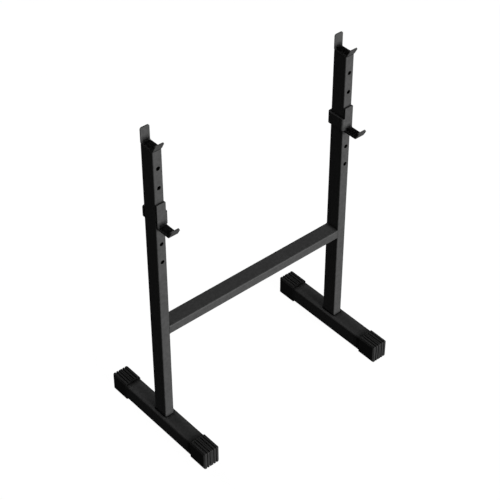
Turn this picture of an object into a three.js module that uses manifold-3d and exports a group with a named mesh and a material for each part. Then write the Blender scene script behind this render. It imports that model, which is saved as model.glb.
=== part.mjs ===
// Squat stand: two uprights on long feet, joined by a crossbar, with a bent bar cradle on top of each
// upright and a swing-off hook bracket that pegs into a row of holes.
// Millimetres, +Z up. The origin lies on the floor, midway between the uprights.
// The hooks point to the front, which is -Y. The left upright is the one at -X.

import * as THREE from 'three';
import { mergeVertices } from 'three/addons/utils/BufferGeometryUtils.js';
import Module from 'manifold-3d';

const wasm = await Module();
wasm.setup();

// Frame
const uprightSpacing = 910;
const baseTubeLength = 574;
const baseTubeWidth = 70;
const baseTubeHeight = 70;
const baseTubeWall = 2.5;
const baseTubeCorner = 6;
const uprightLength = 1300;
const uprightWidth = 40;
const uprightDepth = 70;
const uprightWall = 2;
const uprightCorner = 4.5;
const crossbarHeight = 40;
const crossbarWall = 2;
const crossbarCorner = 5;
const crossbarRise = 428.5;

// Row of holes in the front wall of each upright
const holeDiameter = 17;
const holePitch = 85;
const holeCount = 6;
const topHoleDrop = 76.7;

// Bends of the flat bar in the cradles and the hook brackets
const barInsideRadius = 5;
const lipAngle = THREE.MathUtils.degToRad(62);

// Cradle on top of each upright
const cradleThickness = 5;
const cradleInset = 1;
const cradleBackRise = 63.5;
const cradleLipLength = 39;
const cradleCorner = 8;

// Hook bracket and its peg
const bracketThickness = 8;
const bracketGap = 0.5;
const holesAboveBracket = 2;
const plateRise = 20;
const plateCorner = 3;
const armDrop = 81.3;
const armReach = 62;
const hookLipLength = 38;
const hookCorner = 8;
const wrapHeight = 53;
const wrapGap = 1.5;
const wrapInsideRadius = 2;
const pegDiameter = 16;
const pegLength = 25;

// Rubber cap on each end of the base tubes
const capLength = 88;
const capEndWall = 8;
const capSideWall = 2.2;
const capTopWall = 6.5;
const capSoleWall = 7;
const capGap = 0.3;
const capCorner = 8;
const capEdge = 4;
const capEndCorner = 8;
const capMouthBand = 3;
const capGrooveCount = 6;
const capGrooveWidth = 5;
const capGrooveDepth = 4;

// Cuts run this far past the faces that they cut
const overrun = 4;

// Facets in a quarter turn, in a bend of the flat bar, round a hole and over a moulded edge
const cornerFacets = 6;
const bendFacets = 6;
const roundFacets = 28;
const edgeFacets = 3;

// Sizes and heights above the floor that follow from the ones above
const capWidth = baseTubeWidth + (capGap + capSideWall) * 2;
const capHeight = capSoleWall + capGap + baseTubeHeight + capGap + capTopWall;
const baseTubeBottom = capSoleWall + capGap;
const baseTubeTop = baseTubeBottom + baseTubeHeight;
const uprightTop = baseTubeTop + uprightLength;

const steelFinish = { color: 0x1c1c1c, roughness: 0.48, metalness: 0.35 };
const rubberFinish = { color: 0x121212, roughness: 0.85, metalness: 0 };
const pegFinish = { color: 0x8e9196, roughness: 0.35, metalness: 0.9 };

// Turns a closed geometry into a solid that can be cut and joined
function solidOf(geometry) {
  const bare = geometry.clone();
  bare.deleteAttribute('normal');
  bare.deleteAttribute('uv');
  const merged = mergeVertices(bare);
  const vertProperties = new Float32Array(merged.attributes.position.array);
  const triVerts = new Uint32Array(merged.index.array);
  return new wasm.Manifold(new wasm.Mesh({ numProp: 3, vertProperties, triVerts }));
}

// Turns a solid back into a geometry with flat facets
function geometryOf(solid) {
  const mesh = solid.getMesh();
  const shared = new THREE.BufferGeometry();
  shared.setAttribute('position', new THREE.BufferAttribute(new Float32Array(mesh.vertProperties), 3));
  shared.setIndex(new THREE.BufferAttribute(new Uint32Array(mesh.triVerts), 1));
  const facets = shared.toNonIndexed();
  facets.computeVertexNormals();
  return facets;
}

function namedMesh(name, geometry, finish) {
  const mesh = new THREE.Mesh(geometry, new THREE.MeshStandardMaterial(finish));
  mesh.name = name;
  return mesh;
}

// Rectangle with round corners, centred on the origin
function traceRoundedRectangle(path, width, height, radius) {
  const x = width / 2 - radius;
  const y = height / 2 - radius;
  path.absarc(x, y, radius, 0, Math.PI / 2);
  path.absarc(-x, y, radius, Math.PI / 2, Math.PI);
  path.absarc(-x, -y, radius, Math.PI, Math.PI * 1.5);
  path.absarc(x, -y, radius, Math.PI * 1.5, Math.PI * 2);
  path.closePath();
  return path;
}

function roundedRectangle(width, height, radius) {
  return traceRoundedRectangle(new THREE.Shape(), width, height, radius);
}

// Hollow tube of rectangular section, centred across and standing on z = 0
function tubeGeometry(width, height, wall, corner, length) {
  const section = roundedRectangle(width, height, corner);
  const innerCorner = Math.max(corner - wall, wall / 2);
  const bore = traceRoundedRectangle(new THREE.Path(), width - wall * 2, height - wall * 2, innerCorner);
  section.holes.push(bore);
  return new THREE.ExtrudeGeometry(section, {
    depth: length,
    bevelEnabled: false,
    curveSegments: cornerFacets,
  });
}

// Extrudes an outline drawn in (Y, Z) to a width centred on X
function extrudeAcross(outline, width) {
  const geometry = new THREE.ExtrudeGeometry(outline, {
    depth: width,
    bevelEnabled: false,
    curveSegments: cornerFacets,
  });
  geometry.translate(0, 0, -width / 2);
  const axes = new THREE.Matrix4().makeBasis(
    new THREE.Vector3(0, 1, 0),
    new THREE.Vector3(0, 0, 1),
    new THREE.Vector3(1, 0, 0),
  );
  return geometry.applyMatrix4(axes);
}

// Outline of a flat bar bent along a line: corners are the sharp corners of its centre line
function bentBarOutline(corners, thickness, insideRadius) {
  const radius = insideRadius + thickness / 2;
  const near = [];
  const far = [];
  const addStation = (point, normal) => {
    near.push(point.clone().addScaledVector(normal, thickness / 2));
    far.unshift(point.clone().addScaledVector(normal, -thickness / 2));
  };
  const directionFrom = (i) => corners[i + 1].clone().sub(corners[i]).normalize();
  const leftOf = (direction) => new THREE.Vector2(-direction.y, direction.x);

  addStation(corners[0], leftOf(directionFrom(0)));
  for (let i = 1; i < corners.length - 1; i += 1) {
    const before = directionFrom(i - 1);
    const after = directionFrom(i);
    const turn = Math.atan2(before.cross(after), before.dot(after));
    const side = Math.sign(turn);
    const setback = radius * Math.tan(Math.abs(turn) / 2);
    const normal = leftOf(before);
    const bendStart = corners[i].clone().addScaledVector(before, -setback);
    const centre = bendStart.addScaledVector(normal, radius * side);
    for (let step = 0; step <= bendFacets; step += 1) {
      const turned = normal.clone().rotateAround(new THREE.Vector2(), (turn * step) / bendFacets);
      addStation(centre.clone().addScaledVector(turned, -radius * side), turned);
    }
  }
  const last = corners.length - 1;
  addStation(corners[last], leftOf(directionFrom(last - 1)));
  return new THREE.Shape([...near, ...far]);
}

// Tool that rounds both corners of a flat bar's end: the bar runs along direction and ends at tip,
// and across is the direction of its width
function endRounder(width, radius, thickness, tip, direction, across) {
  const half = width / 2;
  const outline = new THREE.Shape();
  outline.moveTo(half, -radius);
  outline.absarc(half - radius, -radius, radius, 0, Math.PI / 2);
  outline.absarc(-half + radius, -radius, radius, Math.PI / 2, Math.PI);
  outline.lineTo(-half - overrun, -radius);
  outline.lineTo(-half - overrun, overrun);
  outline.lineTo(half + overrun, overrun);
  outline.lineTo(half + overrun, -radius);
  const depth = thickness + overrun * 2;
  const geometry = new THREE.ExtrudeGeometry(outline, {
    depth,
    bevelEnabled: false,
    curveSegments: cornerFacets,
  });
  geometry.translate(0, 0, -depth / 2);
  const placed = new THREE.Matrix4().makeBasis(across, direction, across.clone().cross(direction));
  placed.setPosition(tip);
  return solidOf(geometry.applyMatrix4(placed));
}

// Point of a (Y, Z) outline as a point of the middle plane
function onMiddlePlane(point) {
  return new THREE.Vector3(0, point.x, point.y);
}

// Corner of a bar's centre line where it turns up into a lip, and the lip's tip.
// root is the sharp corner of the outer faces.
function lipPoints(root, lipLength, thickness) {
  const setback = (thickness / 2) * Math.tan(lipAngle / 2);
  const corner = new THREE.Vector2(root.x + setback, root.y + thickness / 2);
  const along = new THREE.Vector2(-Math.cos(lipAngle), Math.sin(lipAngle));
  const tip = corner.clone().addScaledVector(along, lipLength - setback);
  return { corner, tip, along };
}

// Cradle: stands on the upright's end, which is z = 0 here
function cradleGeometry() {
  const thickness = cradleThickness;
  const backPlane = uprightDepth / 2 - cradleInset - thickness / 2;
  const plateTop = thickness + cradleBackRise;
  const lip = lipPoints(new THREE.Vector2(-uprightDepth / 2, 0), cradleLipLength, thickness);
  const corners = [
    new THREE.Vector2(backPlane, plateTop),
    new THREE.Vector2(backPlane, thickness / 2),
    lip.corner,
    lip.tip,
  ];
  const outline = bentBarOutline(corners, thickness, barInsideRadius);
  const bar = solidOf(extrudeAcross(outline, uprightWidth));
  const across = new THREE.Vector3(1, 0, 0);
  const up = new THREE.Vector3(0, 0, 1);
  const lipUp = onMiddlePlane(lip.along);
  const plateTip = onMiddlePlane(corners[0]);
  const lipTip = onMiddlePlane(lip.tip);
  const plateEnd = endRounder(uprightWidth, cradleCorner, thickness, plateTip, up, across);
  const lipEnd = endRounder(uprightWidth, cradleCorner, thickness, lipTip, lipUp, across);
  return geometryOf(bar.subtract(plateEnd).subtract(lipEnd));
}

// Hook bracket: the origin is on the peg's axis at the upright's middle depth. inward is the side of
// the upright, +1 or -1 along X, that faces the other upright.
function hookBracketGeometry(inward) {
  const thickness = bracketThickness;
  const platePlane = -(uprightDepth / 2 + bracketGap + thickness / 2);
  const plateFront = platePlane - thickness / 2;
  const armTop = -armDrop;
  const root = new THREE.Vector2(plateFront - armReach, armTop - thickness);
  const lip = lipPoints(root, hookLipLength, thickness);
  const corners = [
    new THREE.Vector2(platePlane, plateRise),
    new THREE.Vector2(platePlane, armTop - thickness / 2),
    lip.corner,
    lip.tip,
  ];
  const outline = bentBarOutline(corners, thickness, barInsideRadius);
  const bar = solidOf(extrudeAcross(outline, uprightWidth));

  const wallPlane = inward * (uprightWidth / 2 + wrapGap + thickness / 2);
  const backPlane = uprightDepth / 2 + wrapGap + thickness / 2;
  const openSide = -inward * (uprightWidth / 2);
  const band = bentBarOutline(
    [
      new THREE.Vector2(0, platePlane),
      new THREE.Vector2(wallPlane, platePlane),
      new THREE.Vector2(wallPlane, backPlane),
      new THREE.Vector2(openSide, backPlane),
    ],
    thickness,
    wrapInsideRadius,
  );
  const wrap = new THREE.ExtrudeGeometry(band, { depth: wrapHeight, bevelEnabled: false });
  wrap.translate(0, 0, armTop);

  const across = new THREE.Vector3(1, 0, 0);
  const up = new THREE.Vector3(0, 0, 1);
  const outward = new THREE.Vector3(-inward, 0, 0);
  const lipUp = onMiddlePlane(lip.along);
  const plateTip = onMiddlePlane(corners[0]);
  const lipTip = onMiddlePlane(lip.tip);
  const wrapTip = new THREE.Vector3(openSide, backPlane, armTop + wrapHeight / 2);
  const plateEnd = endRounder(uprightWidth, plateCorner, thickness, plateTip, up, across);
  const lipEnd = endRounder(uprightWidth, hookCorner, thickness, lipTip, lipUp, across);
  const wrapEnd = endRounder(wrapHeight, hookCorner, thickness, wrapTip, outward, up);
  return geometryOf(bar.add(solidOf(wrap)).subtract(plateEnd).subtract(lipEnd).subtract(wrapEnd));
}

// Peg behind the bracket's plate, lying along Y through one hole of the upright
function hookPeg(name) {
  const peg = new THREE.CylinderGeometry(pegDiameter / 2, pegDiameter / 2, pegLength, roundFacets);
  const mesh = namedMesh(name, peg, pegFinish);
  mesh.position.y = pegLength / 2 - uprightDepth / 2 - bracketGap;
  return mesh;
}

// Upright with its row of holes, standing on z = 0
function uprightGeometry() {
  const width = uprightWidth;
  const depth = uprightDepth;
  let upright = solidOf(tubeGeometry(width, depth, uprightWall, uprightCorner, uprightLength));
  const drill = new THREE.CylinderGeometry(
    holeDiameter / 2,
    holeDiameter / 2,
    uprightWall + overrun * 2,
    roundFacets,
  );
  for (let i = 0; i < holeCount; i += 1) {
    const hole = drill.clone();
    hole.translate(0, -uprightDepth / 2 + uprightWall / 2, uprightLength - topHoleDrop - holePitch * i);
    upright = upright.subtract(solidOf(hole));
  }
  return geometryOf(upright);
}

// Side view, in (Y, Z), of the channel that one groove leaves round a cap: over its top, down its end
// and under its sole. The cap is centred on y = 0 with its closed end at +capLength / 2.
function grooveOutline() {
  const start = -capLength / 2 + capMouthBand;
  const end = capLength / 2;
  const half = capHeight / 2;
  const ridge = half - capGrooveDepth;
  const outline = new THREE.Shape();
  outline.moveTo(start, half + overrun);
  outline.lineTo(start, ridge);
  outline.absarc(end - capGrooveDepth - capEdge, ridge - capEdge, capEdge, Math.PI / 2, 0, true);
  outline.absarc(end - capGrooveDepth - capEdge, -ridge + capEdge, capEdge, 0, -Math.PI / 2, true);
  outline.lineTo(start, -ridge);
  outline.lineTo(start, -half - overrun);
  outline.lineTo(end + overrun, -half - overrun);
  outline.lineTo(end + overrun, half + overrun);
  return outline;
}

// Ribbed rubber cap, centred on its own middle, with its mouth towards -Y. The block is made longer by
// one moulded edge, which is trimmed off again to leave the mouth square.
function endCapGeometry() {
  const block = new THREE.ExtrudeGeometry(roundedRectangle(capWidth, capHeight, capCorner), {
    depth: capLength - capEdge,
    bevelThickness: capEdge,
    bevelSize: capEdge,
    bevelOffset: -capEdge,
    bevelSegments: edgeFacets,
    curveSegments: cornerFacets,
  });
  block.translate(0, 0, -capLength / 2);
  block.rotateX(-Math.PI / 2);
  // Plan of the cap, twice its length, which rounds the corners of the closed end
  const plan = new THREE.ExtrudeGeometry(roundedRectangle(capWidth, capLength * 2, capEndCorner), {
    depth: capHeight + overrun * 2,
    bevelEnabled: false,
    curveSegments: cornerFacets,
  });
  plan.translate(0, -capLength / 2, -capHeight / 2 - overrun);
  const body = solidOf(block).trimByPlane([0, 1, 0], -capLength / 2).intersect(solidOf(plan));

  const socketDepth = capLength - capEndWall;
  const socketSection = roundedRectangle(
    baseTubeWidth + capGap * 2,
    baseTubeHeight + capGap * 2,
    baseTubeCorner + capGap,
  );
  const socket = new THREE.ExtrudeGeometry(socketSection, {
    depth: socketDepth + overrun,
    bevelEnabled: false,
    curveSegments: cornerFacets,
  });
  socket.rotateX(-Math.PI / 2);
  socket.translate(0, -capLength / 2 - overrun, (capSoleWall - capTopWall) / 2);

  let cap = body.subtract(solidOf(socket));
  const groovePitch = capWidth / (capGrooveCount + 1);
  const groove = extrudeAcross(grooveOutline(), capGrooveWidth);
  for (let i = 0; i < capGrooveCount; i += 1) {
    const channel = groove.clone();
    channel.translate(groovePitch * (i + 1) - capWidth / 2, 0, 0);
    cap = cap.subtract(solidOf(channel));
  }
  return geometryOf(cap);
}

// Cap on the front or back end of a base tube: end is -1 at the front and +1 at the back
function endCap(name, end) {
  const mesh = namedMesh(name, endCapGeometry(), rubberFinish);
  mesh.position.set(0, end * (baseTubeLength / 2 + capGap + capEndWall - capLength / 2), capHeight / 2);
  mesh.rotation.z = end < 0 ? Math.PI : 0;
  return mesh;
}

function baseTube(name) {
  const tube = tubeGeometry(baseTubeWidth, baseTubeHeight, baseTubeWall, baseTubeCorner, baseTubeLength);
  const mesh = namedMesh(name, tube, steelFinish);
  mesh.rotation.x = -Math.PI / 2;
  mesh.position.set(0, -baseTubeLength / 2, baseTubeBottom + baseTubeHeight / 2);
  return mesh;
}

function crossbar(name) {
  const length = uprightSpacing - uprightWidth;
  const tube = tubeGeometry(uprightDepth, crossbarHeight, crossbarWall, crossbarCorner, length);
  const mesh = namedMesh(name, tube, steelFinish);
  mesh.rotation.set(Math.PI / 2, Math.PI / 2, 0);
  mesh.position.set(-length / 2, 0, baseTubeTop + crossbarRise + crossbarHeight / 2);
  return mesh;
}

// One side of the stand: foot, upright, cradle and hook bracket
function standSide(side, inward) {
  const group = new THREE.Group();
  group.position.x = -inward * (uprightSpacing / 2);
  group.add(baseTube(`base_tube_${side}`));
  group.add(endCap(`end_cap_${side}_front`, -1));
  group.add(endCap(`end_cap_${side}_back`, 1));

  const upright = namedMesh(`upright_${side}`, uprightGeometry(), steelFinish);
  upright.position.z = baseTubeTop;
  group.add(upright);

  const cradle = namedMesh(`cradle_${side}`, cradleGeometry(), steelFinish);
  cradle.position.z = uprightTop;
  group.add(cradle);

  const bracket = new THREE.Group();
  bracket.position.z = uprightTop - topHoleDrop - holePitch * holesAboveBracket;
  bracket.add(namedMesh(`hook_bracket_${side}`, hookBracketGeometry(inward), steelFinish));
  bracket.add(hookPeg(`hook_peg_${side}`));
  group.add(bracket);
  return group;
}

const squatStand = new THREE.Group();
squatStand.name = 'squat_stand';
squatStand.add(standSide('left', 1));
squatStand.add(standSide('right', -1));
squatStand.add(crossbar('crossbar'));

export default squatStand;
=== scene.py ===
"""Squat stand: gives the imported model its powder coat, its rubber caps and a pale studio.

Metres, +Z up. The origin is on the floor, midway between the uprights; the hooks point to -Y.
"""

import math

import bmesh
import bpy
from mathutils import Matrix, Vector


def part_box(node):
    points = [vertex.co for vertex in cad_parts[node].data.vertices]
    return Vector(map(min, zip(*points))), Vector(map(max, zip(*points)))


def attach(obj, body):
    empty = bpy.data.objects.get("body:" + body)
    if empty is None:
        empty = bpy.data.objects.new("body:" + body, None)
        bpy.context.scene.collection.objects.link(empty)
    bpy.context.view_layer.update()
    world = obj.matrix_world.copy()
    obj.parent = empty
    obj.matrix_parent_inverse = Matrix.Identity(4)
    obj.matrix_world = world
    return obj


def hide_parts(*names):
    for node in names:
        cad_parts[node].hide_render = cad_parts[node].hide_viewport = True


bl_info = {
    "name": "Squat stand",
    "version": (1, 0, 0),
    "blender": (4, 5, 0),
    "location": "3D View > Sidebar > Stand",
    "description": "Builds the finished pieces of a squat stand around its packed frame",
    "category": "Object",
}

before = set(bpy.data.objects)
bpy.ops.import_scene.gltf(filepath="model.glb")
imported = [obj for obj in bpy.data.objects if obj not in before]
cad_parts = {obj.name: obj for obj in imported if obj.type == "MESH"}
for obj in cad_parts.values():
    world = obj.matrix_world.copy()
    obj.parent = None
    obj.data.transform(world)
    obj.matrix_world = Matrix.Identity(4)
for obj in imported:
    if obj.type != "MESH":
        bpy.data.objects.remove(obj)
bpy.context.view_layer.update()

# Each side of the stand, with the way that is inward along X
SIDES = {"left": 1, "right": -1}
CROSS_LOW, CROSS_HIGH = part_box("crossbar")

# Steps round each kind of curve
CORNER_STEPS = 8
BEND_STEPS = 12
TIP_STEPS = 6
ROUND_STEPS = 48
RIM_STEPS = 4
END_STEPS = 12
LIP_STEPS = 3
FILLET_STEPS = 3
FLARE_STEPS = 4
GROOVE_BEND_STEPS = 6
SEAM_STEPS = 24
BEAD_SIDES = 12

# Any edge stays crisp past the first angle, and a bar's edge is rounded past the second
SHARP_ANGLE = math.radians(34)
BEVEL_ANGLE = math.radians(50)
BEVEL_SEGMENTS = 3
# Faces within this angle are one flat, and points within this distance are one point
FLAT_ANGLE = math.radians(0.5)
MERGE_DISTANCE = 1e-6

# Depth of the drill that cuts the holes, through the uprights' front wall only
DRILL_DEPTH = 0.004
# The wrap's front tail lies this far inside the plate, so that their faces don't coincide
TAIL_INSET = 0.0001
# Rounding between a groove's floor and its sides
GROOVE_FILLET = 0.0008
# A groove's cutter stands out past the ribs by this share of their rounding
FLARE_PAST = 0.4
# Least radii of a groove's bend and of a cap's corner
LEAST_BEND = 0.0004
LEAST_CORNER = 0.0005

# The crossbar's beads are narrower than the bar, and sink by this share where a corner falls away
BAR_BEAD_INSET = 0.001
BAR_BEAD_FALL = 0.5
# The cradles' beads stop this far from the uprights' front and back
SEAM_FRONT = 0.008
SEAM_BACK = 0.014
# Length of one step along a bead, and its seed
BEAD_STEP = 0.0009
BEAD_SEED = 3.0

# Width of a noise texture's patches at scale 1, and its detail in bumps and gloss
NOISE_PATCH = 0.5
BUMP_DETAIL = 2.0
# Pitch of a wave texture's bands at scale 1
WAVE_PITCH = math.tau / 20
# Colour inputs and output of a Mix node
MIX_LOW, MIX_HIGH, MIX_RESULT = 6, 7, 2
# Glow of the floor and the backdrop, just past white
SWEEP_GLOW = 1.02


def linear(code):
    """sRGB hex to the linear colour that shaders take."""
    channels = [int(code[i : i + 2], 16) / 255 for i in (1, 3, 5)]
    return tuple(c / 12.92 if c <= 0.04045 else ((c + 0.055) / 1.055) ** 2.4 for c in channels)


def length(name, description, default):
    return bpy.props.FloatProperty(
        name=name,
        description=description,
        default=default,
        min=0.0001,
        unit="LENGTH",
        precision=4,
    )


def colour(name, description, code):
    return bpy.props.FloatVectorProperty(
        name=name,
        description=description,
        default=linear(code),
        min=0,
        max=1,
        size=3,
        subtype="COLOR",
    )


def light_strength(name, description, default):
    return bpy.props.FloatProperty(name=name, description=description, default=default, min=0)


class StandSizes(bpy.types.PropertyGroup):
    """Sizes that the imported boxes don't give"""

    upright_corner: length("Upright corner", "Outside corner radius of the uprights", 0.0045)
    upright_wall: length("Upright wall", "Wall of the uprights", 0.002)
    foot_corner: length("Foot corner", "Outside corner radius of the base tubes", 0.006)
    foot_wall: length("Foot wall", "Wall of the base tubes", 0.0025)
    cross_corner: length("Crossbar corner", "Outside corner radius of the crossbar", 0.005)
    cross_wall: length("Crossbar wall", "Wall of the crossbar", 0.002)
    hole_diameter: length("Hole", "Diameter of the holes in the uprights", 0.017)
    hole_rim: length("Hole rim", "Rounding of the holes' rims under the coating", 0.0007)
    hole_pitch: length("Hole pitch", "Distance between holes", 0.085)
    top_hole_drop: length("Top hole", "From the upright's top to the first hole", 0.0767)
    hole_count: bpy.props.IntProperty(
        name="Holes", description="Holes in each upright", default=6, min=1
    )
    cradle_bar: length("Cradle bar", "Thickness of the cradles' flat bar", 0.005)
    bracket_bar: length("Bracket bar", "Thickness of the brackets' flat bar", 0.008)
    bend_inside: length("Bend", "Inside radius of the bends", 0.005)
    bar_edge: length("Bar edge", "Rounding of the flat bar's edges", 0.0006)
    lip_angle: bpy.props.FloatProperty(
        name="Lip angle", description="Slope of the lips", default=math.radians(62), subtype="ANGLE"
    )
    cradle_inset: length("Cradle inset", "From the upright's back to the cradle's plate", 0.001)
    cradle_lip: length("Cradle lip", "Length of the cradle's lip", 0.039)
    cradle_corner: length("Cradle corner", "Corner radius of the cradle's ends", 0.008)
    plate_corner: length("Plate corner", "Corner radius of the bracket's plate", 0.003)
    hook_lip: length("Hook lip", "Length of the hook's lip", 0.038)
    hook_corner: length("Hook corner", "Corner radius of the hook's lip and of the wrap", 0.008)
    bracket_gap: length("Bracket gap", "Between the bracket and the upright", 0.0005)
    arm_drop: length("Arm drop", "From the peg's axis down to the arm's top", 0.0813)
    arm_reach: length("Arm reach", "From the plate's front to the root of the hook's lip", 0.062)
    wrap_height: length("Wrap height", "Height of the wrap", 0.053)
    wrap_gap: length("Wrap gap", "Between the wrap and the upright", 0.0015)
    wrap_inside: length("Wrap bend", "Inside radius of the wrap's bends", 0.002)
    peg_chamfer: length("Peg chamfer", "Chamfer on the peg's free end", 0.0015)
    cap_corner: length("Cap corner", "Radius of the caps' long edges", 0.008)
    cap_edge: length("Cap edge", "Radius of the closed ends' upper and lower edges", 0.004)
    cap_end_corner: length("Cap end corner", "Radius of the closed ends' upright edges", 0.008)
    cap_end_wall: length("Cap end", "Thickness of the caps' closed ends", 0.008)
    cap_gap: length("Cap gap", "Between the caps and the tubes", 0.0003)
    cap_lip: length("Cap lip", "Rounding of the caps' mouths", 0.0006)
    cap_lead: length("Cap lead", "Chamfer that leads the tube into the cap", 0.0008)
    groove_count: bpy.props.IntProperty(
        name="Grooves", description="Deep grooves on each side of the middle rib", default=2, min=1
    )
    groove_middle: length("Middle rib", "Between the middles of the grooves beside it", 0.0188)
    groove_pitch: length("Groove pitch", "Between two deep grooves on one side", 0.0123)
    groove_width: length("Groove width", "Width of a deep groove", 0.005)
    groove_depth: length("Groove depth", "Depth of a deep groove", 0.004)
    edge_groove_place: length("Edge groove", "From a cap's middle to its edge's groove", 0.034)
    edge_groove_width: length("Edge groove width", "Width of the grooves in the edges", 0.0018)
    edge_groove_depth: length("Edge groove depth", "Depth of these grooves below the top", 0.0032)
    fine_groove_width: length("Fine groove width", "Width of the line down the middle", 0.0018)
    fine_groove_depth: length("Fine groove depth", "Depth of the line down the middle", 0.0016)
    groove_flare: length("Groove flare", "Rounding of the ribs' edges", 0.0007)
    groove_start: length("Groove start", "Plain band at the caps' mouths", 0.003)
    foot_bead: length("Foot bead", "Radius of the beads round the uprights' feet", 0.003)
    bar_bead: length("Bar bead", "Radius of the beads round the crossbar's ends", 0.0015)
    seam_bead: length("Seam bead", "Radius of the beads that hold the cradles", 0.0012)
    ripple_pitch: length("Ripple", "Pitch of the weld ripples", 0.0036)
    ripple_share: bpy.props.FloatProperty(
        name="Ripple height",
        description="Ripple as a share of the bead's radius",
        default=0.12,
        min=0,
        max=1,
    )


class StandFinish(bpy.types.PropertyGroup):
    """Colours of the three finishes and the floor"""

    coat: colour("Coat", "Black powder coat", "#2b2b2b")
    coat_low: colour("Coat, low", "Powder coat where it lies thin", "#252525")
    rubber: colour("Rubber", "Black moulded rubber", "#202020")
    rubber_low: colour("Rubber, low", "Rubber where the mould left it duller", "#1b1b1b")
    zinc: colour("Zinc", "Zinc-plated steel", "#b9bcc0")
    floor: colour("Floor", "Pale floor and backdrop", "#fefefe")


class StandStudio(bpy.types.PropertyGroup):
    """Lights of the studio"""

    key: light_strength("Key", "Strength of the low front light", 8.3)
    upper: light_strength("Upper", "Watts of the near right light", 48)
    back: light_strength("Back", "Strength of the light from behind", 4.4)
    side: light_strength("Side", "Strength of the light from the right", 3.5)
    ambient: light_strength("Ambient", "Strength of the sky", 0.02)


def sizes():
    return bpy.context.scene.stand_sizes


def finish():
    return bpy.context.scene.stand_finish


def studio():
    return bpy.context.scene.stand_studio


# Materials


def add_node(tree, kind, settings=None, links=None, **values):
    """Adds a node with its own settings, its inputs' values by name, and links to its inputs."""
    node = tree.nodes.new(kind)
    for key, value in (settings or {}).items():
        setattr(node, key, value)
    for key, value in values.items():
        node.inputs[key.replace("_", " ")].default_value = value
    for key, socket in (links or {}).items():
        tree.links.new(socket, node.inputs[key])
    return node


def new_material(name):
    material = bpy.data.materials.get(name) or bpy.data.materials.new(name)
    material.use_nodes = True
    material.node_tree.nodes.clear()
    return material, material.node_tree


def darker(tone, share):
    """A colour times a share, before any node."""
    return tuple(channel * share for channel in tone)


def mottled(tree, place, low, high, size, detail=3.0):
    """Two near colours in patches of about this size in metres."""
    scale = NOISE_PATCH / size
    links = {"Vector": place}
    noise = add_node(tree, "ShaderNodeTexNoise", links=links, Scale=scale, Detail=detail)
    mix = add_node(tree, "ShaderNodeMix", {"data_type": "RGBA"})
    links = {"Value": noise.outputs["Fac"]}
    spread = add_node(tree, "ShaderNodeMapRange", links=links, From_Min=0.35, From_Max=0.65)
    mix.inputs[MIX_LOW].default_value = (*low, 1)
    mix.inputs[MIX_HIGH].default_value = (*high, 1)
    tree.links.new(spread.outputs["Result"], mix.inputs["Factor"])
    return mix.outputs[MIX_RESULT]


def relief(tree, place, size, depth, strength):
    """Bumps of about this size and depth in metres."""
    scale = NOISE_PATCH / size
    noise = add_node(
        tree, "ShaderNodeTexNoise", links={"Vector": place}, Scale=scale, Detail=BUMP_DETAIL
    )
    links = {"Height": noise.outputs["Fac"]}
    bump = add_node(tree, "ShaderNodeBump", links=links, Strength=strength, Distance=depth)
    return bump.outputs["Normal"]


def varied(tree, place, size, lowest, highest):
    """A number that drifts between two values over patches of this size."""
    scale = NOISE_PATCH / size
    noise = add_node(
        tree, "ShaderNodeTexNoise", links={"Vector": place}, Scale=scale, Detail=BUMP_DETAIL
    )
    spread = add_node(
        tree,
        "ShaderNodeMapRange",
        links={"Value": noise.outputs["Fac"]},
        From_Min=0.3,
        From_Max=0.7,
        To_Min=lowest,
        To_Max=highest,
    )
    return spread.outputs["Result"]


def painted_crease_shade(tree, reach, darkest):
    """Painted shade: a share that falls in grooves, inner corners and gaps, where shade gathers,
    over this reach in metres.
    """
    hollow = add_node(tree, "ShaderNodeAmbientOcclusion", {"samples": 8}, Distance=reach)
    spread = add_node(
        tree,
        "ShaderNodeMapRange",
        links={"Value": hollow.outputs["AO"]},
        From_Min=0.45,
        From_Max=0.9,
        To_Min=darkest,
        To_Max=1.0,
    )
    return spread.outputs["Result"]


def times(tree, tone, share):
    """The colour times the share."""
    settings = {"data_type": "RGBA", "blend_type": "MULTIPLY"}
    mix = add_node(tree, "ShaderNodeMix", settings, {MIX_LOW: tone, MIX_HIGH: share}, Factor=1.0)
    return mix.outputs[MIX_RESULT]


def close_material(tree, links, **values):
    shader = add_node(tree, "ShaderNodeBsdfPrincipled", links=links, **values)
    add_node(tree, "ShaderNodeOutputMaterial", links={"Surface": shader.outputs["BSDF"]})


def powder_coated_steel():
    """Satin black polyester powder, sprayed and baked: even near-black with fine orange peel."""
    material, tree = new_material("powder_coated_steel_satin_black")
    place = add_node(tree, "ShaderNodeTexCoord").outputs["Object"]
    # Real mottling in the coat is 2 to 3 mm, drawn at 5 mm so that it shows
    base = mottled(tree, place, finish().coat_low, finish().coat, 0.005)
    # Painted shade: the coat is drawn darker in inner corners and on the faces under a lip, where
    # shade falls
    base = times(tree, base, painted_crease_shade(tree, reach=0.025, darkest=0.1))
    rough = varied(tree, place, 0.012, lowest=0.54, highest=0.62)
    # Real orange peel is about 1 mm across, drawn at 2.5 mm
    peel = relief(tree, place, 0.0025, depth=0.0002, strength=0.1)
    links = {"Base Color": base, "Roughness": rough, "Normal": peel}
    close_material(tree, links, Metallic=0.0, IOR=1.5, Specular_IOR_Level=0.25)
    return material


def coated_weld():
    """The same coat over a weld bead, drawn near black as painted shade for the contact shadow
    where the uprights meet the feet; it goes on rough and reads as a dark seam.
    """
    material, tree = new_material("powder_coated_weld_bead")
    place = add_node(tree, "ShaderNodeTexCoord").outputs["Object"]
    # Painted shade: the coat's tones at a twentieth of their brightness
    low, high = (darker(tone, 0.05) for tone in (finish().coat_low, finish().coat))
    base = mottled(tree, place, low, high, 0.003)
    rough = varied(tree, place, 0.006, lowest=0.6, highest=0.75)
    links = {"Base Color": base, "Roughness": rough}
    close_material(tree, links, Metallic=0.0, IOR=1.5, Specular_IOR_Level=0.02)
    return material


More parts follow.
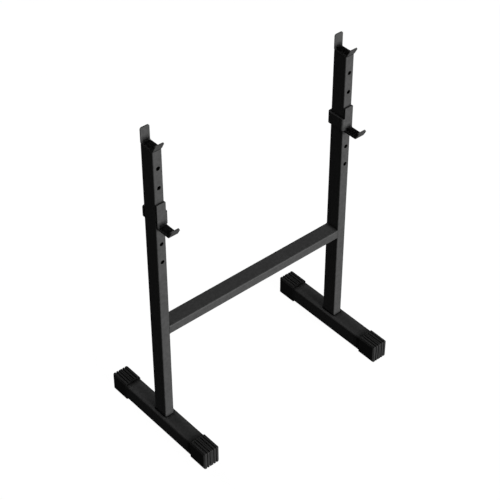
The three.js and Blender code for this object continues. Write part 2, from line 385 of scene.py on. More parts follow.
def painted_mouth_shade(tree, place):
    """Painted shade: a share that is low on the caps' mouths, which lie at one distance in y from
    the middle.
    """
    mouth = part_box("end_cap_left_back")[0].y
    # Metres in from the mouth where the painted shade is deepest and where it ends
    shade_deepest, shade_ends = 0.0002, 0.0012
    axes = add_node(tree, "ShaderNodeSeparateXYZ", links={"Vector": place})
    away = add_node(tree, "ShaderNodeMath", {"operation": "ABSOLUTE"}, {0: axes.outputs["Y"]})
    spread = add_node(
        tree,
        "ShaderNodeMapRange",
        links={"Value": away.outputs[0]},
        From_Min=mouth + shade_deepest,
        From_Max=mouth + shade_ends,
        To_Min=0.02,
        To_Max=1.0,
    )
    return spread.outputs["Result"]


def moulded_rubber():
    """Black rubber from a spark-eroded mould: duller than the coat, with a fine grain."""
    material, tree = new_material("moulded_rubber_black")
    place = add_node(tree, "ShaderNodeTexCoord").outputs["Object"]
    base = mottled(tree, place, finish().rubber_low, finish().rubber, 0.004)
    # Painted shade: the rubber is drawn darker in its grooves and on the mouth's face, where shade
    # falls
    shares = {0: painted_crease_shade(tree, reach=0.008, darkest=0.1), 1: painted_mouth_shade(tree, place)}
    painted_shade_share = add_node(tree, "ShaderNodeMath", {"operation": "MULTIPLY"}, shares)
    base = times(tree, base, painted_shade_share.outputs[0])
    rough = varied(tree, place, 0.01, lowest=0.6, highest=0.7)
    # Mould grain is about 0.3 mm, drawn at 1.2 mm
    grain = relief(tree, place, 0.0012, depth=0.00015, strength=0.08)
    links = {"Base Color": base, "Roughness": rough, "Normal": grain}
    close_material(tree, links, Metallic=0.0, IOR=1.52, Specular_IOR_Level=0.12)
    return material


def zinc_plated_steel():
    """Turned steel with bright zinc: a cool grey metal with fine rings from the lathe."""
    material, tree = new_material("zinc_plated_steel_turned")
    place = add_node(tree, "ShaderNodeTexCoord").outputs["Object"]
    # Turning marks are about 0.2 mm apart, drawn at 0.8 mm
    rings = add_node(
        tree,
        "ShaderNodeTexWave",
        {"wave_type": "BANDS", "bands_direction": "Y"},
        {"Vector": place},
        Scale=WAVE_PITCH / 0.0008,
        Distortion=0.4,
    )
    links = {"Height": rings.outputs["Fac"]}
    bump = add_node(tree, "ShaderNodeBump", links=links, Strength=0.2, Distance=0.00005)
    base = mottled(tree, place, darker(finish().zinc, 0.85), finish().zinc, 0.003)
    rough = varied(tree, place, 0.004, lowest=0.28, highest=0.38)
    links = {"Base Color": base, "Roughness": rough, "Normal": bump.outputs["Normal"]}
    close_material(tree, links, Metallic=1.0)
    return material


# Meshes


def new_piece(name, bm, material):
    """A mesh object whose faces point outwards."""
    bmesh.ops.recalc_face_normals(bm, faces=bm.faces)
    mesh = bpy.data.meshes.new(name)
    bm.to_mesh(mesh)
    bm.free()
    if material:
        mesh.materials.append(material)
    piece = bpy.data.objects.new(name, mesh)
    bpy.context.scene.collection.objects.link(piece)
    return piece


def bake_modifiers(piece):
    """Leaves what the modifiers make as the piece's own mesh."""
    depsgraph = bpy.context.evaluated_depsgraph_get()
    mesh = bpy.data.meshes.new_from_object(piece.evaluated_get(depsgraph), depsgraph=depsgraph)
    piece.modifiers.clear()
    piece.data = mesh
    mesh.name = piece.name


def shade(piece):
    """Smooth bends and crisp corners, with the flats kept flat."""
    bm = bmesh.new()
    bm.from_mesh(piece.data)
    bmesh.ops.remove_doubles(bm, verts=bm.verts, dist=MERGE_DISTANCE)
    bmesh.ops.dissolve_degenerate(bm, edges=bm.edges, dist=MERGE_DISTANCE)
    bm.to_mesh(piece.data)
    bm.free()
    piece.data.shade_smooth()
    piece.data.set_sharp_from_angle(angle=SHARP_ANGLE)
    weighted = piece.modifiers.new("flats", "WEIGHTED_NORMAL")
    weighted.keep_sharp = True
    bake_modifiers(piece)


def place_piece(piece, body, slot, *nodes):
    """Says which body carries a piece and hides the CAD nodes that it stands in for; its slot is
    not used.
    """
    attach(piece, body)
    if nodes:
        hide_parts(*nodes)


def round_ring(middle, y, reach):
    """Points of a circle of this radius that lies across Y."""
    angles = [math.tau * i / ROUND_STEPS for i in range(ROUND_STEPS)]
    return [(middle.x + reach * math.cos(a), y, middle.z + reach * math.sin(a)) for a in angles]


def rounded_ring(width, height, radius):
    """Points of a rectangle with round corners, anticlockwise, centred on the origin."""
    ring = []
    for quarter, (sx, sy) in enumerate(((1, 1), (-1, 1), (-1, -1), (1, -1))):
        for step in range(CORNER_STEPS + 1):
            angle = math.pi / 2 * (quarter + step / CORNER_STEPS)
            x = sx * (width / 2 - radius) + radius * math.cos(angle)
            y = sy * (height / 2 - radius) + radius * math.sin(angle)
            ring.append((x, y))
    return ring


def add_rings(bm, rings, closed=True):
    """Joins rings of points by quads, fills the first and the last if closed, and gives rows."""
    rows = [[bm.verts.new(point) for point in ring] for ring in rings]
    count = len(rows[0])
    for near, far in zip(rows, rows[1:]):
        for i in range(count):
            j = (i + 1) % count
            bm.faces.new((near[i], near[j], far[j], far[i]))
    if closed:
        bm.faces.new(rows[0][::-1])
        bm.faces.new(rows[-1])
    return rows


def tube(bm, width, height, corner, wall, start, end, to_place):
    """Hollow tube between two stations; to_place gives a point from (across, up, along)."""
    inner = max(corner - wall, wall / 2)
    outside = rounded_ring(width, height, corner)
    inside = rounded_ring(width - wall * 2, height - wall * 2, inner)
    rings = [
        [to_place(x, y, z) for x, y in ring]
        for ring, z in ((outside, start), (outside, end), (inside, end), (inside, start))
    ]
    rows = add_rings(bm, rings, closed=False)
    count = len(outside)
    for i in range(count):
        j = (i + 1) % count
        bm.faces.new((rows[3][i], rows[3][j], rows[0][j], rows[0][i]))


def turned(vector, angle):
    """A flat vector turned anticlockwise."""
    c, s = math.cos(angle), math.sin(angle)
    return Vector((vector.x * c - vector.y * s, vector.x * s + vector.y * c))


def bent_line(corners, radius, steps=BEND_STEPS):
    """Stations (point, direction) along a line of corners whose bends have this radius."""
    first = (corners[1] - corners[0]).normalized()
    stations = [(corners[0], first)]
    direction = first
    for corner, after in zip(corners[1:], corners[2:]):
        leaving = (after - corner).normalized()
        across = direction.x * leaving.y - direction.y * leaving.x
        turn = math.atan2(across, direction.dot(leaving))
        side = math.copysign(1, turn)
        normal = Vector((-direction.y, direction.x))
        start = corner - direction * radius * math.tan(abs(turn) / 2)
        centre = start + normal * radius * side
        for step in range(steps + 1):
            angle = turn * step / steps
            point = centre - turned(normal, angle) * radius * side
            stations.append((point, turned(direction, angle)))
        direction = leaving
    stations.append((corners[-1], direction))
    return stations


def bar_stations(corners, width, bend, tips):
    """Stations (point, direction, half width) of a flat bar; tips are its ends' corner radii."""
    line = bent_line(corners, bend)
    half = width / 2
    stations = [(point, direction, half) for point, direction in line[1:-1]]
    for end, radius in enumerate(tips):
        point, direction = line[-end]
        inwards = -direction if end else direction
        tip = []
        for step in range(TIP_STEPS + 1 if radius else 1):
            angle = math.pi / 2 * step / TIP_STEPS
            depth = radius * (1 - math.cos(angle))
            reach = half - radius * (1 - math.sin(angle))
            tip.append((point + inwards * depth, direction, reach))
        stations = stations + tip[::-1] if end else tip + stations
    return stations


def flat_bar(name, stations, thickness, to_place):
    """Bent flat bar with rounded edges; to_place gives a point from (line point, across)."""
    bm = bmesh.new()
    rings = []
    for point, direction, half in stations:
        offset = Vector((-direction.y, direction.x)) * thickness / 2
        over, under = point + offset, point - offset
        corners = ((over, half), (over, -half), (under, -half), (under, half))
        rings.append([to_place(p, across) for p, across in corners])
    add_rings(bm, rings)
    # The flats become single faces, so that the rounding runs evenly round the bar's corners
    bmesh.ops.recalc_face_normals(bm, faces=bm.faces)
    bm.normal_update()
    bmesh.ops.dissolve_limit(bm, angle_limit=FLAT_ANGLE, verts=bm.verts, edges=bm.edges)
    piece = new_piece(name, bm, None)
    bevel = piece.modifiers.new("edges", "BEVEL")
    bevel.width = sizes().bar_edge
    bevel.segments = BEVEL_SEGMENTS
    bevel.limit_method = "ANGLE"
    bevel.angle_limit = BEVEL_ANGLE
    bevel.use_clamp_overlap = False
    bake_modifiers(piece)
    return piece


def lip_corners(root, lip, thickness, angle):
    """Centre line's corner and tip of a lip, from the sharp corner of the bar's outer faces."""
    setback = thickness / 2 * math.tan(angle / 2)
    corner = Vector((root.x + setback, root.y + thickness / 2))
    return corner, corner + Vector((-math.cos(angle), math.sin(angle))) * (lip - setback)


# Geometry node trees


def add_inputs(tree, **kinds):
    """Adds inputs to a tree, each name with its kind of socket."""
    for name, kind in kinds.items():
        name = name.replace("_", " ")
        tree.interface.new_socket(name, in_out="INPUT", socket_type=f"NodeSocket{kind}")


def end_tree(tree, name, geometry, material):
    """Ends a tree in one real mesh of one material."""
    tree.interface.new_socket(name, in_out="OUTPUT", socket_type="NodeSocketGeometry")
    whole = add_node(tree, "GeometryNodeRealizeInstances", links={"Geometry": geometry})
    links = {"Geometry": whole.outputs["Geometry"], "Material": material}
    coated = add_node(tree, "GeometryNodeSetMaterial", links=links)
    add_node(tree, "NodeGroupOutput", links={name: coated.outputs["Geometry"]})


def cut_row_tree():
    """Cuts one shape out of a body at even steps along a line."""
    tree = bpy.data.node_groups.new("cut_row", "GeometryNodeTree")
    add_inputs(tree, Body="Geometry", Cutter="Object", Count="Int")
    add_inputs(tree, Start="Vector", Step="Vector", Finish="Material")
    given = add_node(tree, "NodeGroupInput").outputs
    line = add_node(
        tree,
        "GeometryNodeMeshLine",
        links={"Count": given["Count"], "Start Location": given["Start"], "Offset": given["Step"]},
    )
    shape = add_node(tree, "GeometryNodeObjectInfo", links={"Object": given["Cutter"]})
    cuts = add_node(
        tree,
        "GeometryNodeInstanceOnPoints",
        links={"Points": line.outputs["Mesh"], "Instance": shape.outputs["Geometry"]},
    )
    links = {"Geometry": cuts.outputs["Instances"]}
    solid = add_node(tree, "GeometryNodeRealizeInstances", links=links)
    cut = add_node(
        tree,
        "GeometryNodeMeshBoolean",
        {"operation": "DIFFERENCE", "solver": "EXACT"},
        {"Mesh 1": given["Body"], "Mesh 2": solid.outputs["Geometry"]},
        Self_Intersection=False,
    )
    end_tree(tree, "Body", cut.outputs["Mesh"], given["Finish"])
    return tree


def bead_tree():
    """Lays a rippled weld bead along every edge path of a mesh."""
    tree = bpy.data.node_groups.new("weld_bead", "GeometryNodeTree")
    add_inputs(tree, Paths="Geometry", Radius="Float", Ripple_Pitch="Float")
    add_inputs(tree, Ripple_Share="Float", Seed="Float", Finish="Material")
    given = add_node(tree, "NodeGroupInput").outputs
    path = add_node(tree, "GeometryNodeMeshToCurve", links={"Mesh": given["Paths"]})
    even = add_node(
        tree,
        "GeometryNodeResampleCurve",
        {"mode": "LENGTH"},
        {"Curve": path.outputs["Curve"]},
        Length=BEAD_STEP,
    )
    # The bead swells and narrows once a ripple, and noise keeps the ripples from being alike
    run = add_node(tree, "GeometryNodeSplineParameter")
    links = {0: run.outputs["Length"], 1: given["Ripple Pitch"]}
    turns = add_node(tree, "ShaderNodeMath", {"operation": "DIVIDE"}, links)
    wander = add_node(
        tree,
        "ShaderNodeTexNoise",
        {"noise_dimensions": "4D"},
        {"W": given["Seed"]},
        Scale=60.0,
        Detail=1.0,
    )
    links = {0: turns.outputs[0], 1: wander.outputs["Fac"]}
    phase = add_node(tree, "ShaderNodeMath", {"operation": "ADD"}, links)
    angle = add_node(tree, "ShaderNodeMath", {"operation": "MULTIPLY"}, {0: phase.outputs[0]})
    angle.inputs[1].default_value = math.tau
    wave = add_node(tree, "ShaderNodeMath", {"operation": "SINE"}, {0: angle.outputs[0]})
    links = {0: wave.outputs[0], 1: given["Ripple Share"]}
    height = add_node(tree, "ShaderNodeMath", {"operation": "MULTIPLY"}, links)
    scale = add_node(tree, "ShaderNodeMath", {"operation": "ADD"}, {0: height.outputs[0]})
    scale.inputs[1].default_value = 1.0
    links = {"Radius": given["Radius"]}
    profile = add_node(
        tree, "GeometryNodeCurvePrimitiveCircle", links=links, Resolution=BEAD_SIDES
    )
    bead = add_node(
        tree,
        "GeometryNodeCurveToMesh",
        links={
            "Curve": even.outputs["Curve"],
            "Profile Curve": profile.outputs["Curve"],
            "Scale": scale.outputs[0],
        },
        Fill_Caps=True,
    )
    end_tree(tree, "Beads", bead.outputs["Mesh"], given["Finish"])
    return tree


def run_tree(piece, tree, **values):
    """Runs a node tree on a piece and keeps the result as its mesh."""
    modifier = piece.modifiers.new(tree.name, "NODES")
    modifier.node_group = tree
    for socket in tree.interface.items_tree:
        key = socket.name.replace(" ", "_")
        if socket.in_out == "INPUT" and key in values:
            modifier[socket.identifier] = values[key]
    bake_modifiers(piece)


def discard(piece):
    mesh = piece.data
    bpy.data.objects.remove(piece)
    bpy.data.meshes.remove(mesh)


# Pieces


def hole_cutter():
    """Drill with a small flare at the front wall, lying along Y with its front rim at y = 0."""
    size = sizes()
    radius, rim = size.hole_diameter / 2, size.hole_rim
    profile = [(DRILL_DEPTH, radius), (rim, radius)]
    for step in range(1, RIM_STEPS):
        angle = math.pi / 2 * step / RIM_STEPS
        profile.append((rim * (1 - math.sin(angle)), radius + rim * (1 - math.cos(angle))))
    # The cone goes on at about the rim's last slope until it is clear of the wall
    depth, reach = profile[-1]
    profile.append((depth - rim, reach + rim * 2))
    bm = bmesh.new()
    add_rings(bm, [round_ring(Vector(), depth, reach) for depth, reach in profile])
    return new_piece("hole_cutter", bm, None)


def build_upright(side, tree, cutter, material):
    """Rectangular tube with a row of holes through its front wall."""
    size = sizes()
    low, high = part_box(f"upright_{side}")
    middle = (low + high) / 2
    bm = bmesh.new()
    tube(
        bm,
        high.x - low.x,
        high.y - low.y,
        size.upright_corner,
        size.upright_wall,
        low.z,
        high.z,
        lambda across, up, along: (middle.x + across, middle.y + up, along),
    )
    piece = new_piece(f"upright_{side}_drilled", bm, material)
    first = (middle.x, low.y, high.z - size.top_hole_drop)
    line = {"Count": size.hole_count, "Start": first, "Step": (0, 0, -size.hole_pitch)}
    run_tree(piece, tree, Cutter=cutter, Finish=material, **line)
    shade(piece)
    place_piece(piece, "frame", "coated_steel", f"upright_{side}")


def build_foot(side, material):
    """Square tube that lies front to back under an upright."""
    size = sizes()
    node = f"base_tube_{side}"
    low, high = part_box(node)
    middle = (low + high) / 2
    bm = bmesh.new()
    tube(
        bm,
        high.x - low.x,
        high.z - low.z,
        size.foot_corner,
        size.foot_wall,
        low.y,
        high.y,
        lambda across, up, along: (middle.x + across, along, middle.z + up),
    )
    piece = new_piece(f"foot_tube_{side}", bm, material)
    shade(piece)
    place_piece(piece, "frame", "coated_steel", node)


def build_crossbar(material):
    """Rectangular tube between the uprights."""
    size = sizes()
    middle = (CROSS_LOW + CROSS_HIGH) / 2
    bm = bmesh.new()
    tube(
        bm,
        CROSS_HIGH.y - CROSS_LOW.y,
        CROSS_HIGH.z - CROSS_LOW.z,
        size.cross_corner,
        size.cross_wall,
        CROSS_LOW.x,
        CROSS_HIGH.x,
        lambda across, up, along: (along, middle.y + across, middle.z + up),
    )
    piece = new_piece("cross_tube", bm, material)
    shade(piece)
    place_piece(piece, "frame", "coated_steel", "crossbar")


def build_cradle(side, material):
    """Flat bar bent up into a back plate and a front lip, standing on the upright's end."""
    size = sizes()
    low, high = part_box(f"cradle_{side}")
    upright_low, upright_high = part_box(f"upright_{side}")
    middle = (low.x + high.x) / 2
    bar = size.cradle_bar
    back = upright_high.y - size.cradle_inset - bar / 2
    root = Vector((upright_low.y, low.z))
    corner, tip = lip_corners(root, size.cradle_lip, bar, size.lip_angle)
    corners = [Vector((back, high.z)), Vector((back, low.z + bar / 2)), corner, tip]
    tips = (size.cradle_corner, size.cradle_corner)
    stations = bar_stations(corners, high.x - low.x, size.bend_inside + bar / 2, tips)
    piece = flat_bar(
        f"cradle_bar_{side}",
        stations,
        bar,
        lambda point, across: (middle + across, point.x, point.y),
    )
    piece.data.materials.append(material)
    shade(piece)
    place_piece(piece, "frame", "coated_steel", f"cradle_{side}")


def build_bracket(side, inward, material):
    """Flat bar bent into plate, arm and lip, with a wrap round the upright's inner side."""
    size = sizes()
    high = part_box(f"hook_bracket_{side}")[1]
    upright_low, upright_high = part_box(f"upright_{side}")
    peg_low, peg_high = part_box(f"hook_peg_{side}")
    middle = (upright_low.x + upright_high.x) / 2
    axis = (peg_low.z + peg_high.z) / 2
    bar, width = size.bracket_bar, upright_high.x - upright_low.x
    plate = upright_low.y - size.bracket_gap - bar / 2
    arm_top = axis - size.arm_drop
    root = Vector((plate - bar / 2 - size.arm_reach, arm_top - bar))
    corner, tip = lip_corners(root, size.hook_lip, bar, size.lip_angle)
    corners = [Vector((plate, high.z)), Vector((plate, arm_top - bar / 2)), corner, tip]
    tips = (size.plate_corner, size.hook_corner)
    stations = bar_stations(corners, width, size.bend_inside + bar / 2, tips)
    strap = flat_bar(
        f"hook_plate_{side}",
        stations,
        bar,
        lambda point, across: (middle + across, point.x, point.y),
    )
    wall = middle + inward * (width / 2 + size.wrap_gap + bar / 2)
    back = upright_high.y + size.wrap_gap + bar / 2
    open_side = middle - inward * width / 2
    tail = plate + TAIL_INSET
    path = [
        Vector((middle, tail)),
        Vector((wall, tail)),
        Vector((wall, back)),
        Vector((open_side, back)),
    ]
    tips = (0, size.hook_corner)
    stations = bar_stations(path, size.wrap_height, size.wrap_inside + bar / 2, tips)
    centre = arm_top + size.wrap_height / 2
    wrap = flat_bar(
        "wrap",
        stations,
        bar,
        lambda point, across: (point.x, point.y, centre + across),
    )
    union = strap.modifiers.new("wrap", "BOOLEAN")
    union.operation = "UNION"
    union.solver = "EXACT"
    union.object = wrap
    bake_modifiers(strap)
    discard(wrap)
    strap.data.materials.clear()
    strap.data.materials.append(material)
    shade(strap)
    place_piece(strap, f"hook_{side}", "coated_steel", f"hook_bracket_{side}")


def build_peg(side, material):
    """Plain pin behind the bracket's plate."""
    low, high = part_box(f"hook_peg_{side}")
    middle = (low + high) / 2
    radius, chamfer = (high.z - low.z) / 2, sizes().peg_chamfer
    profile = [(low.y, radius), (high.y - chamfer, radius), (high.y, radius - chamfer)]
    bm = bmesh.new()
    add_rings(bm, [round_ring(middle, y, reach) for y, reach in profile])
    piece = new_piece(f"hook_pin_{side}", bm, material)
    shade(piece)
    place_piece(piece, f"hook_{side}", "peg_steel", f"hook_peg_{side}")


def groove_cutter(low, high, end, width, depth):
    """One channel over a cap's top, down its closed end and under its sole, at x = 0."""
    size = sizes()
    flare = size.groove_flare
    half = width / 2
    mouth, closed = (low.y, high.y) if end > 0 else (high.y, low.y)
    start = mouth + end * size.groove_start
    floor = closed - end * depth
    bend = max(size.cap_edge - depth, LEAST_BEND)
    corners = [
        Vector((start, high.z - depth)),
        Vector((floor, high.z - depth)),
        Vector((floor, low.z + depth)),
        Vector((start, low.z + depth)),
    ]
    # One side of the channel from its floor up to the rib's rounded edge, then a little past it
    fillet = GROOVE_FILLET
    section = []
    for step in range(FILLET_STEPS + 1):
        angle = math.pi / 2 * step / FILLET_STEPS
        section.append((half - fillet * (1 - math.sin(angle)), fillet * (1 - math.cos(angle))))
    for step in range(FLARE_STEPS):
        angle = math.pi / 2 * step / FLARE_STEPS
        up = depth - flare * (1 - math.sin(angle))
        section.append((half + flare * (1 - math.cos(angle)), up))
    section.append((half + flare * (1 + FLARE_PAST), depth + flare * FLARE_PAST))
    section += [(-across, up) for across, up in section[::-1]]
    rings = []
    for point, direction in bent_line(corners, bend, GROOVE_BEND_STEPS):
        out = Vector((-direction.y, direction.x)) * end
        rings.append([(x, point.x + out.x * up, point.y + out.y * up) for x, up in section])
    bm = bmesh.new()
    add_rings(bm, rings)
    return new_piece("groove_cutter", bm, None)


def build_cap(side, name, end, tree, material):
    """Rubber cap: a deep cup on the base tube's end, ribbed over its top, end and sole."""
    size = sizes()
    node = f"end_cap_{side}_{name}"
    low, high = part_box(node)
    tube_low, tube_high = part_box(f"base_tube_{side}")
    middle = (low + high) / 2
    mouth, closed = (low.y, high.y) if end > 0 else (high.y, low.y)
    width, height = high.x - low.x, high.z - low.z
    lip, edge, corner = size.cap_lip, size.cap_edge, size.cap_end_corner
    socket_floor = closed - end * size.cap_end_wall
    socket_middle = (tube_low.z + tube_high.z) / 2

    # Outside ring at y, drawn in from the cap's sides and from its top and sole
    def ring(y, across, up):
        radius = max(size.cap_corner - max(across, up), LEAST_CORNER)
        points = rounded_ring(width - across * 2, height - up * 2, radius)
        return [(middle.x + x, y, middle.z + z) for x, z in points]

    # How far a rounding of this radius draws the surface in at a depth below the closed end
    def rounding(radius, depth):
        return radius - math.sqrt(max(radius**2 - max(radius - depth, 0) ** 2, 0))

    def socket_ring(y, spare=0.0):
        gap = (size.cap_gap + spare) * 2
        wide, tall = tube_high.x - tube_low.x + gap, tube_high.z - tube_low.z + gap
        points = rounded_ring(wide, tall, size.foot_corner + gap / 2)
        return [(middle.x + x, y, socket_middle + z) for x, z in points]

    lead = size.cap_lead
    rings = [socket_ring(socket_floor), socket_ring(mouth + end * lead), socket_ring(mouth, lead)]
    for step in range(LIP_STEPS + 1):
        angle = math.pi / 2 * step / LIP_STEPS
        inset = lip * (1 - math.sin(angle))
        rings.append(ring(mouth + end * lip * (1 - math.cos(angle)), inset, inset))
    for step in range(END_STEPS + 1):
        depth = corner * (1 - math.sin(math.pi / 2 * step / END_STEPS))
        rings.append(ring(closed - end * depth, rounding(corner, depth), rounding(edge, depth)))
    bm = bmesh.new()
    add_rings(bm, rings)
    piece = new_piece(f"cap_{side}_{name}", bm, material)
    deep = groove_cutter(low, high, end, size.groove_width, size.groove_depth)
    slim = groove_cutter(low, high, end, size.edge_groove_width, size.edge_groove_depth)
    fine = groove_cutter(low, high, end, size.fine_groove_width, size.fine_groove_depth)
    # Each row's cutter, count, first place and step
    rows = [
        (deep, size.groove_count, -size.groove_middle / 2, -size.groove_pitch),
        (deep, size.groove_count, size.groove_middle / 2, size.groove_pitch),
        (slim, 2, -size.edge_groove_place, size.edge_groove_place * 2),
        (fine, 1, 0, 0),
    ]
    for cutter, count, start, step in rows:
        line = {"Start": (middle.x + start, 0, 0), "Step": (step, 0, 0)}
        run_tree(piece, tree, Cutter=cutter, Count=count, Finish=material, **line)
    for cutter in (deep, slim, fine):
        discard(cutter)
    shade(piece)
    place_piece(piece, "frame", "cap_rubber", node)


def weld_paths():
    """Lines of weld at the feet, the crossbar and the cradles, each with whether it is closed."""
    size = sizes()
    feet, bars, seams = [], [], []
    for side, inward in SIDES.items():
        low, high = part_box(f"upright_{side}")
        middle = (low + high) / 2
        ring = rounded_ring(high.x - low.x, high.y - low.y, size.upright_corner)
        feet.append(([(middle.x + x, middle.y + y, low.z) for x, y in ring], True))
        # The upright's corner falls away from the crossbar's end, and the bead follows it down
        face = middle.x + inward * (high.x - low.x) / 2
        corner = size.upright_corner
        depth = CROSS_HIGH.y - CROSS_LOW.y - BAR_BEAD_INSET
        ring = rounded_ring(depth, CROSS_HIGH.z - CROSS_LOW.z, size.cross_corner)
        centre = (CROSS_LOW + CROSS_HIGH) / 2
        points = []
        for y, z in ring:
            past = max(abs(y) - ((high.y - low.y) / 2 - corner), 0)
            fall = corner - math.sqrt(max(corner**2 - past**2, 0))
            points.append((face - inward * fall * BAR_BEAD_FALL, centre.y + y, centre.z + z))
        bars.append((points, True))
        front, back = low.y + SEAM_FRONT, high.y - SEAM_BACK
        stops = [front + (back - front) * i / SEAM_STEPS for i in range(SEAM_STEPS + 1)]
        for across in (low.x, high.x):
            seams.append(([(across, y, high.z) for y in stops], False))
    return feet, bars, seams


def path_mesh(name, paths):
    """Mesh of bare edges along the paths."""
    bm = bmesh.new()
    for points, closed in paths:
        verts = [bm.verts.new(point) for point in points]
        for near, far in zip(verts, verts[1:]):
            bm.edges.new((near, far))
        if closed:
            bm.edges.new((verts[-1], verts[0]))
    return new_piece(name, bm, None)


def build_welds(coat, painted_shade_coat):
    """Beads under the coat at the uprights' feet, the crossbar's ends and the cradles' seats."""
    size = sizes()
    tree = bead_tree()
    kinds = (
        # The feet's beads take the near-black coat, painted shade for the contact shadow at the
        # joint
        ("foot_beads", size.foot_bead, painted_shade_coat),
        ("bar_beads", size.bar_bead, coat),
        ("seam_beads", size.seam_bead, coat),
    )
    for (name, radius, material), paths in zip(kinds, weld_paths()):
        piece = path_mesh(name, paths)
        ripple = {"Ripple_Pitch": size.ripple_pitch, "Ripple_Share": size.ripple_share}
        run_tree(piece, tree, Radius=radius, Seed=BEAD_SEED, Finish=material, **ripple)
        shade(piece)
        place_piece(piece, "frame", "coated_steel")


# Studio


def build_floor():
    """Wide pale floor that glows as a lit sweep does, and gives no light back to the stand."""
    material, tree = new_material("painted_sweep_white")
    place = add_node(tree, "ShaderNodeTexCoord").outputs["Object"]
    white = finish().floor
    tone = mottled(tree, place, darker(white, 0.99), white, size=0.4, detail=1.0)
    glow = add_node(tree, "ShaderNodeEmission", links={"Color": tone}, Strength=SWEEP_GLOW)
    paint = add_node(tree, "ShaderNodeBsdfDiffuse", links={"Color": tone})
    both = add_node(tree, "ShaderNodeMixShader", Fac=0.03)
    tree.links.new(glow.outputs["Emission"], both.inputs[1])
    tree.links.new(paint.outputs["BSDF"], both.inputs[2])
    add_node(tree, "ShaderNodeOutputMaterial", links={"Surface": both.outputs["Shader"]})
    bm = bmesh.new()
    bmesh.ops.create_grid(bm, x_segments=8, y_segments=8, size=20)
    floor = new_piece("floor", bm, material)
    floor.visible_diffuse = False
    floor.visible_glossy = False


def build_world():
    """Pale backdrop for the eye, and a dim even sky for the stand."""
    world = bpy.data.worlds.new("studio")
    world.use_nodes = True
    tree = world.node_tree
    tree.nodes.clear()
    seen = add_node(tree, "ShaderNodeBackground", Strength=SWEEP_GLOW)
    seen.inputs["Color"].default_value = (*finish().floor, 1)
    sky = add_node(tree, "ShaderNodeBackground", Strength=studio().ambient)
    ray = add_node(tree, "ShaderNodeLightPath")
    both = add_node(tree, "ShaderNodeMixShader", links={0: ray.outputs["Is Camera Ray"]})
    tree.links.new(sky.outputs["Background"], both.inputs[1])
    tree.links.new(seen.outputs["Background"], both.inputs[2])
    add_node(tree, "ShaderNodeOutputWorld", links={"Surface": both.outputs["Shader"]})
    bpy.context.scene.world = world


def add_sun(name, strength, spread, toward):
    """Soft distant light, so many degrees across, that shines along a direction."""
    light = bpy.data.lights.new(name, "SUN")
    light.energy = strength
    light.angle = math.radians(spread)
    lamp = bpy.data.objects.new(name, light)
    lamp.rotation_euler = Vector(toward).to_track_quat("-Z", "Y").to_euler()
    bpy.context.scene.collection.objects.link(lamp)
    return lamp


def add_panel(name, power, width, place, aim):
    """Square soft light of this width and power at a place, turned towards another."""
    light = bpy.data.lights.new(name, "AREA")
    light.energy = power
    light.size = width
    lamp = bpy.data.objects.new(name, light)
    lamp.location = place
    lamp.rotation_euler = (Vector(aim) - Vector(place)).to_track_quat("-Z", "Y").to_euler()
    lamp.visible_glossy = False
    lamp.visible_camera = False
    bpy.context.scene.collection.objects.link(lamp)


def add_camera():
    """The photograph's viewpoint: 41 degrees round to the left and 40 degrees up."""
    data = bpy.data.cameras.new("photo_camera")
    data.lens = 108.49
    data.sensor_width = 36
    data.shift_x = 0.00117
    data.shift_y = -0.01014
    data.clip_end = 100
    camera = bpy.data.objects.new("photo_camera", data)
    camera.location = (-2.9189, -3.3846, 4.4369)
    camera.rotation_euler = (math.radians(50.0), 0, math.radians(-40.68))
    bpy.context.scene.collection.objects.link(camera)
    bpy.context.scene.camera = camera


# Operators


class STAND_OT_tubes(bpy.types.Operator):
    """Build the uprights with their holes, the base tubes and the crossbar"""

    bl_idname = "stand.tubes"
    bl_label = "Tubes"

    def execute(self, context):
        material = powder_coated_steel()
        tree, cutter = cut_row_tree(), hole_cutter()
        for side in SIDES:
            build_upright(side, tree, cutter, material)
            build_foot(side, material)
        build_crossbar(material)
        discard(cutter)
        return {"FINISHED"}


class STAND_OT_cradles(bpy.types.Operator):
    """Build the bent cradles on top of the uprights"""

    bl_idname = "stand.cradles"
    bl_label = "Cradles"

    def execute(self, context):
        material = powder_coated_steel()
        for side in SIDES:
            build_cradle(side, material)
        return {"FINISHED"}


class STAND_OT_hooks(bpy.types.Operator):
    """Build the swing-off hook brackets and their pegs"""

    bl_idname = "stand.hooks"
    bl_label = "Hooks"

    def execute(self, context):
        coat, zinc = powder_coated_steel(), zinc_plated_steel()
        for side, inward in SIDES.items():
            build_bracket(side, inward, coat)
            build_peg(side, zinc)
        return {"FINISHED"}


class STAND_OT_caps(bpy.types.Operator):
    """Build the ribbed rubber caps on the base tubes' ends"""

    bl_idname = "stand.caps"
    bl_label = "End caps"

    def execute(self, context):
        material, tree = moulded_rubber(), cut_row_tree()
        for side in SIDES:
            for name, end in (("front", -1), ("back", 1)):
                build_cap(side, name, end, tree, material)
        return {"FINISHED"}


class STAND_OT_welds(bpy.types.Operator):
    """Lay the weld beads"""

    bl_idname = "stand.welds"
    bl_label = "Weld beads"

    def execute(self, context):
        build_welds(powder_coated_steel(), coated_weld())
        return {"FINISHED"}


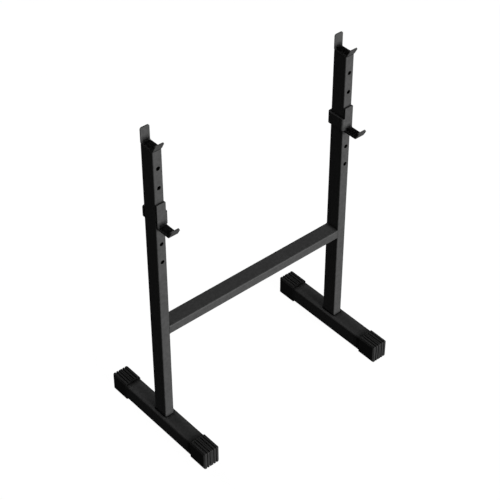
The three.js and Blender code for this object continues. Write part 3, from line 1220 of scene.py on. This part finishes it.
class STAND_OT_stage(bpy.types.Operator):
    """Set up the floor, the lights and the camera"""

    bl_idname = "stand.stage"
    bl_label = "Stage"

    def execute(self, context):
        build_floor()
        build_world()
        lights = studio()
        add_sun("key_light", lights.key, spread=20, toward=(0.012, 0.985, -0.175))
        # The fills shape the tops, the back and the right side, and stay out of the gloss
        for name, strength, toward in (
            ("back_light", lights.back, (-0.05, -0.91, -0.41)),
            ("side_light", lights.side, (-0.99, -0.1, 0.0)),
        ):
            add_sun(name, strength, spread=25, toward=toward).visible_glossy = False
        # The photograph's right side and its upper half are a little brighter
        add_panel(
            "upper_light", lights.upper, width=0.8, place=(0.9, -2.2, 1.5), aim=(0.455, 0, 1.4)
        )
        add_camera()
        context.scene.view_settings.view_transform = "Standard"
        return {"FINISHED"}


STEPS = (
    STAND_OT_stage,
    STAND_OT_tubes,
    STAND_OT_cradles,
    STAND_OT_hooks,
    STAND_OT_caps,
    STAND_OT_welds,
)


class STAND_PT_panel(bpy.types.Panel):
    """Builds the stand piece by piece"""

    bl_label = "Squat stand"
    bl_idname = "STAND_PT_panel"
    bl_space_type = "VIEW_3D"
    bl_region_type = "UI"
    bl_category = "Stand"

    def draw(self, context):
        for step in STEPS:
            self.layout.operator(step.bl_idname)
        for group in (sizes(), finish(), studio()):
            box = self.layout.box()
            for name in group.bl_rna.properties.keys():
                if name not in ("rna_type", "name"):
                    box.prop(group, name)


GROUPS = {"stand_sizes": StandSizes, "stand_finish": StandFinish, "stand_studio": StandStudio}


def register():
    for group in GROUPS.values():
        bpy.utils.register_class(group)
    for name, group in GROUPS.items():
        setattr(bpy.types.Scene, name, bpy.props.PointerProperty(type=group))
    for step in STEPS:
        bpy.utils.register_class(step)
    bpy.utils.register_class(STAND_PT_panel)


def unregister():
    bpy.utils.unregister_class(STAND_PT_panel)
    for step in reversed(STEPS):
        bpy.utils.unregister_class(step)
    for name, group in GROUPS.items():
        delattr(bpy.types.Scene, name)
        bpy.utils.unregister_class(group)


def main():
    register()
    bpy.ops.stand.stage()
    bpy.ops.stand.tubes()
    bpy.ops.stand.cradles()
    bpy.ops.stand.hooks()
    bpy.ops.stand.caps()
    bpy.ops.stand.welds()


if __name__ == "__main__":
    main()
